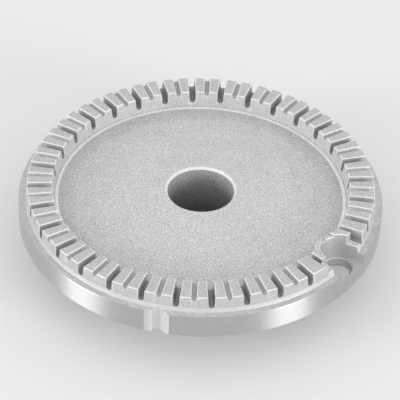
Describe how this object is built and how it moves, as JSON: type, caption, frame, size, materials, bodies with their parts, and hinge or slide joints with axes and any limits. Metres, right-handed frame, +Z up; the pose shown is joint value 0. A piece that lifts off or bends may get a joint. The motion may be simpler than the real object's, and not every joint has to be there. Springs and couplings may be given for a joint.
{
  "type": "gas hob burner crown",
  "caption": "Round cast aluminium gas burner crown with a ring of flame slots, a dished pan, a central mixing bore, a turned rim and a spark electrode pocket.",
  "frame": {"origin": "centre of the mixing tube's foot, the face that the crown stands on", "axes": "+Z up along the bore axis, -Y towards the viewer, +X to the viewer's right"},
  "size_m": [0.1, 0.1, 0.024],
  "materials": {
    "cast_aluminium": "cast and shot-blasted, with a turned rim"
  },
  "bodies": {
    "root": {"burner_crown": "cast_aluminium"}
  },
  "joints": []
}
